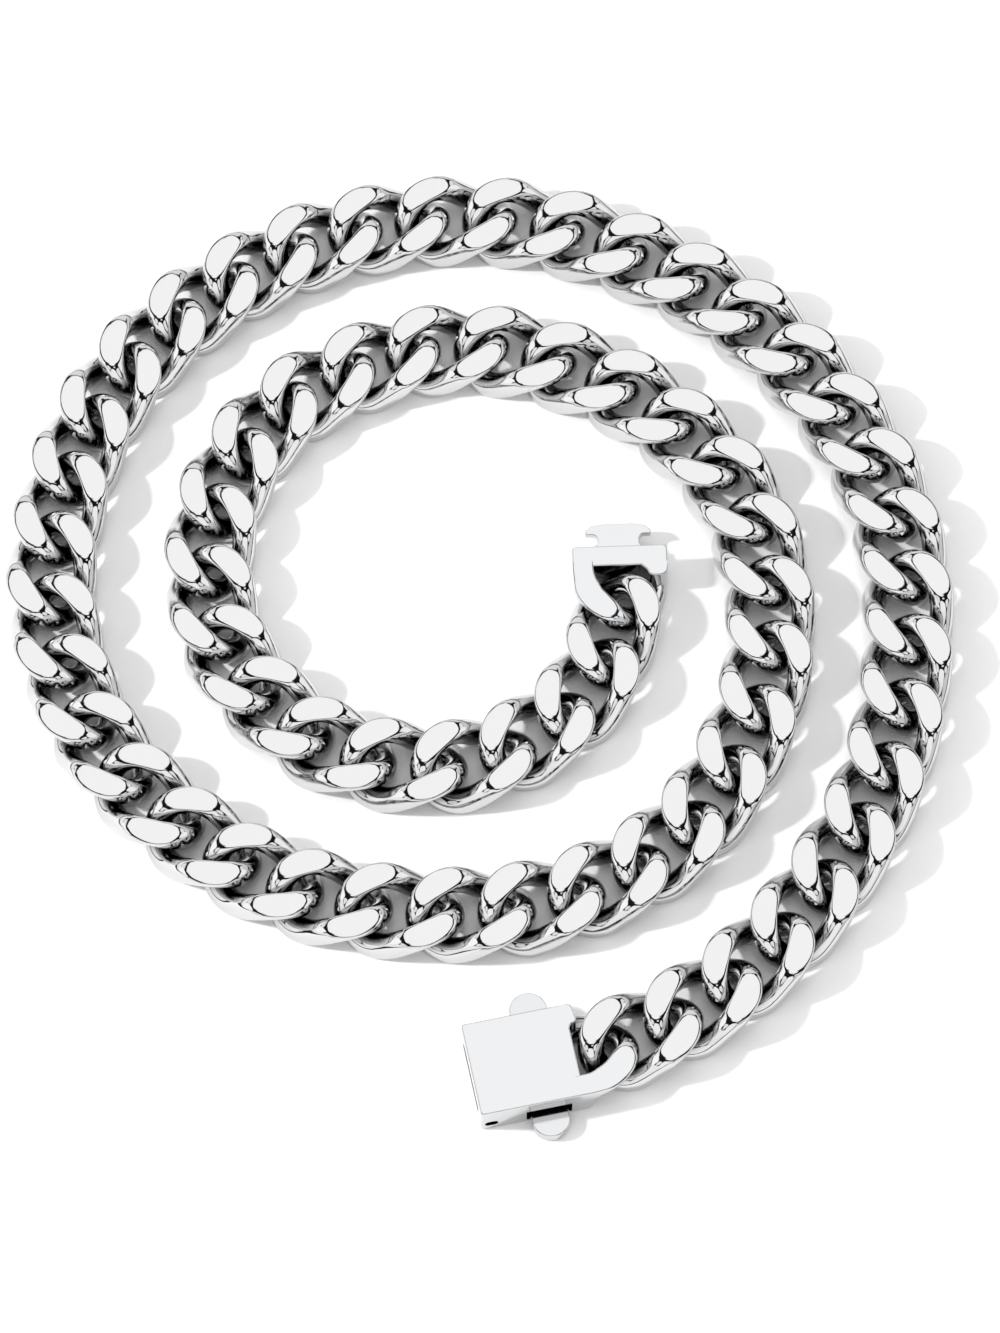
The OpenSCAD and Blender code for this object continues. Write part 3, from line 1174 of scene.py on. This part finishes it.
@dataclass(frozen=True)
class TongueEnd:
    """The other end of the clasp: a block with half a link soldered on, and the tongue."""

    name: str = "tongue_block"
    node: str = "tongue_end"
    half: float = 6.15
    back: float = -0.75
    front: float = 2.05
    corner: float = 0.5
    bevel: float = 0.16
    tongue_low: float = 2.1
    tongue_high: float = 3.1
    tongue_bevel: float = 0.11
    plan: tuple[Triple, ...] = (
        (1.5, -3.6, 0.1), (2.95, -3.6, 0.15), (2.95, -2.7, 0.68), (4.75, -2.7, 0.78), (4.75, -4.27, 0.16),
        (5.3, -4.27, 0.5), (6.0, -3.42, 0.7), (6.24, -1.9, 1.5), (6.24, 1.9, 1.5), (6.0, 3.42, 0.7),
        (5.3, 4.27, 0.5), (4.75, 4.27, 0.16), (4.75, 2.7, 0.78), (2.95, 2.7, 0.68), (2.95, 3.6, 0.15),
        (1.5, 3.6, 0.1),
    )  # fmt: skip
    nub: tuple[Triple, ...] = (
        (-0.3, -6.151, 0.1), (-0.3, -2.6, 0.1), (-0.7, -2.6, 0.25), (-1.5, -3.5, 0.8), (-2.25, -3.75, 0.6),
        (-2.25, -6.151, 0.95),
    )  # fmt: skip
    nub_shows: float = -0.5  # x up to which the nub stands outside the block
    arm: HookArm = field(
        default_factory=lambda: HookArm(
            face=0.75,
            stations=(
                (0.1, -4.80, 4.8), (1.2, -4.80, 4.8), (2.4, -4.70, 4.8), (3.6, -4.44, 4.8),
                (4.87, -3.83, 4.8), (5.95, -2.9, 4.75), (6.85, -1.8, 4.2), (7.3, -0.7, 3.2),
                (7.25, 0.5, 2.2), (6.7, 1.7, 1.3), (5.6, 2.9, 0.62), (4.2, 3.8, 0.42),
                (2.8, 4.3, 0.4), (1.2, 4.45, 0.4),
            ),
        )
    )  # fmt: skip

    def build(self, route: CoilRoute, steel: bpy.types.Material) -> bpy.types.Object:
        """Builds the block, its tongue and its half link as one piece.

        Args:
            route: The coil.
            steel: Material of the clasp.

        Returns:
            The new piece.
        """
        skin = Skin()
        block = rectangle(self.back, self.front, -self.half, self.half, self.corner)
        skin.slab(rounded_outline(block), 0.0, THICKNESS, self.bevel)
        tongue = rounded_outline(self.plan, steps=9)
        skin.slab(tongue, self.tongue_low, self.tongue_high, self.tongue_bevel)
        nub = rounded_outline(self.nub)
        showing = np.where(nub[:, 0] > self.nub_shows, BURIED, 1.0)
        skin.slab(nub, PROUD, THICKNESS + PROUD, self.bevel, showing)
        skin.join(self.arm.skin(turned=True))
        skin.move(route.at_tongue)
        return dress(skin.mesh(self.name, CREASE), steel, BODY, self.node)


@dataclass(frozen=True)
class Panel:
    """A round patch of light in the room, which fades between two angles from its middle.

    All angles are in degrees: the azimuth and height of its middle, and how far from there the
    light ends and is still full.
    """

    azimuth: float
    height: float
    strength: float
    end: float
    full: float

    def middle(self) -> Triple:
        """Direction of the middle."""
        east, up = math.radians(self.azimuth), math.radians(self.height)
        return math.cos(east) * math.cos(up), math.sin(east) * math.cos(up), math.sin(up)


@dataclass(frozen=True)
class Softbox:
    """A soft square lamp that faces the necklace and isn't mirrored in it, in metres and watts."""

    name: str
    place: Triple
    size: float
    power: float

    def build(self) -> None:
        """Adds the lamp."""
        lamp = bpy.data.lights.new(self.name, "AREA")
        lamp.shape = "SQUARE"
        lamp.size = self.size
        lamp.energy = self.power
        box = new_object(self.name, lamp)
        box.location = self.place
        box.visible_glossy = False
        towards = -np.array(self.place)
        pitch = math.acos(-towards[2] / np.linalg.norm(towards))
        box.rotation_euler = (0, -pitch, math.atan2(towards[1], towards[0]))


@dataclass(frozen=True)
class Studio:
    """A white table, light panels in a dark room, two soft lamps, and the camera.

    From the photograph's angle the ground faces mirror the first panel, and from most other angles
    one of the rest. The dark room shows only between the panels and under the pale band low on the
    walls, and that draws the dark lines along the wire and round the faces.
    """

    camera_place: Triple = (0.00252, -0.3201, 0.6899)
    tilt: float = 24.7
    lens: float = 159.0
    sensor: float = 36.0
    room: float = 0.01
    panels: tuple[Panel, ...] = (
        Panel(90.0, 67.0, 1.44, 16.0, 14.5),
        Panel(90.0, 88.0, 1.44, 10.0, 8.0),
        Panel(90.0, 28.0, 1.1, 20.5, 19.5),
        Panel(135.0, 40.0, 1.2, 13.0, 11.5),
        Panel(45.0, 40.0, 1.2, 13.0, 11.5),
        Panel(176.0, 32.0, 1.5, 24.0, 21.5),
        Panel(4.0, 32.0, 1.35, 23.0, 20.5),
        Panel(-66.0, 70.0, 1.4, 6.0, 4.0),
        Panel(-92.0, 30.0, 1.35, 24.0, 21.5),
        Panel(-137.0, 40.0, 1.2, 13.0, 11.5),
        Panel(-45.0, 40.0, 1.2, 13.0, 11.5),
    )
    band: tuple[float, float] = (1.3, 0.9)
    band_reach: float = 0.7
    band_heights: tuple[float, float, float, float] = (4.0, 7.0, 25.0, 28.0)
    lamps: tuple[Softbox, ...] = (
        Softbox("key_softbox", (-0.72, -0.05, 0.60), 0.065, 7.0),
        Softbox("fill_softbox", (0.0, 0.1, 1.3), 1.5, 6.0),
    )
    table_tint: Triple = (0.93, 0.93, 0.93)
    table_half: float = 8000.0
    table_drop: float = 0.05

    def build(self) -> None:
        """Makes the table, the room, the lamps and the camera."""
        self._table()
        self._room()
        for lamp in self.lamps:
            lamp.build()
        self._camera()
        bpy.context.scene.view_settings.view_transform = "Standard"

    def _table(self) -> None:
        """Adds the white table top, a large flat sheet just under the necklace."""
        skin = Skin()
        line = np.linspace(-self.table_half, self.table_half, 9)
        x, y = np.meshgrid(line, line, indexing="ij")
        skin.grid(skin.points(np.stack([x, y, np.full_like(x, -self.table_drop)], -1)))
        table = skin.mesh("table_top")
        paper = bpy.data.materials.new("white_table")
        paper.use_nodes = True
        shade = paper.node_tree.nodes["Principled BSDF"]
        shade.inputs["Base Color"].default_value = (*self.table_tint, 1)
        shade.inputs["Roughness"].default_value = 0.9
        shade.inputs["Specular IOR Level"].default_value = 0.1
        table.data.materials.append(paper)

    def _room(self) -> None:
        """Lights the scene from all round.

        The brightness in a direction is the greatest of the dark room, each panel and the band. A
        panel's is the smooth step of the cosine of the angle from its middle. The band fades in
        and out between four heights, in degrees, and goes from its first to its second brightness
        from left to right.
        """
        world = bpy.data.worlds.new("studio")
        bpy.context.scene.world = world
        world.use_nodes = True
        graph = Graph(world.node_tree)
        towards = graph.add("ShaderNodeTexCoord")["Generated"]
        parts = graph.add("ShaderNodeSeparateXYZ", {0: towards})

        def fade(value: Socket, start: float, end: float, low: float, high: float) -> Socket:
            """A smooth step of a socket's value, from low at start to high at end."""
            bounds = {"Value": value, "From Min": start, "From Max": end, "To Min": low, "To Max": high}
            return graph.add("ShaderNodeMapRange", bounds, interpolation_type="SMOOTHSTEP")["Result"]

        def combine(operation: str, a: Socket, b: Socket) -> Socket:
            """Two values put together by a math node."""
            return graph.add("ShaderNodeMath", {0: a, 1: b}, operation=operation)[0]

        steps = [math.sin(math.radians(angle)) for angle in self.band_heights]
        rising = fade(parts["Z"], steps[0], steps[1], 0.0, 1.0)
        falling = fade(parts["Z"], steps[2], steps[3], 1.0, self.room)
        across = fade(parts["X"], -self.band_reach, self.band_reach, *self.band)
        glow = combine("MULTIPLY", combine("MULTIPLY", rising, falling), across)
        for panel in self.panels:
            middle = {0: towards, 1: panel.middle()}
            aim = graph.add("ShaderNodeVectorMath", middle, operation="DOT_PRODUCT")["Value"]
            edges = (math.cos(math.radians(angle)) for angle in (panel.end, panel.full))
            glow = combine("MAXIMUM", glow, fade(aim, *edges, self.room, panel.strength))
        light = graph.add("ShaderNodeBackground", {"Strength": glow, "Color": (1, 1, 1, 1)})[0]
        graph.add("ShaderNodeOutputWorld", {0: light})

    def _camera(self) -> None:
        """Adds the camera at the photograph's angle, with a long lens."""
        view = bpy.data.cameras.new("camera")
        view.lens = self.lens
        view.sensor_width = self.sensor
        view.clip_start, view.clip_end = 0.01, 20
        seen = new_object("camera", view)
        seen.location = self.camera_place
        seen.rotation_euler = (math.radians(self.tilt), 0, 0)
        bpy.context.scene.camera = seen


def main() -> None:
    """Builds the necklace piece by piece, then the studio."""
    route = CoilRoute()
    link_steel, clasp_steel, tab_steel = LINK_STEEL.material(), CLASP_STEEL.material(), TAB_STEEL.material()
    ClaspBox().build(route, clasp_steel)
    PushTab("near_push_tab", "front_tab", "front_push_tab", Face.NEAR, 9.45).build(route, tab_steel)
    PushTab("far_push_tab", "back_tab", "back_push_tab", Face.FAR, 8.85).build(route, tab_steel)
    for name, node, first, last in (
        ("chain_links_01_to_17", "outer_chain", 0, 16),
        ("chain_links_18_to_33", "outer_chain", 17, 32),
        ("chain_links_34_to_49", "inner_chain", 33, 48),
        ("chain_links_50_to_65", "inner_chain", 49, 64),
    ):
        ChainRun(name, node, first, last).build(route, link_steel)
    TongueEnd().build(route, clasp_steel)
    Studio().build()


if __name__ == "__main__":
    logging.basicConfig(level=logging.INFO, format="%(name)s: %(message)s")
    main()
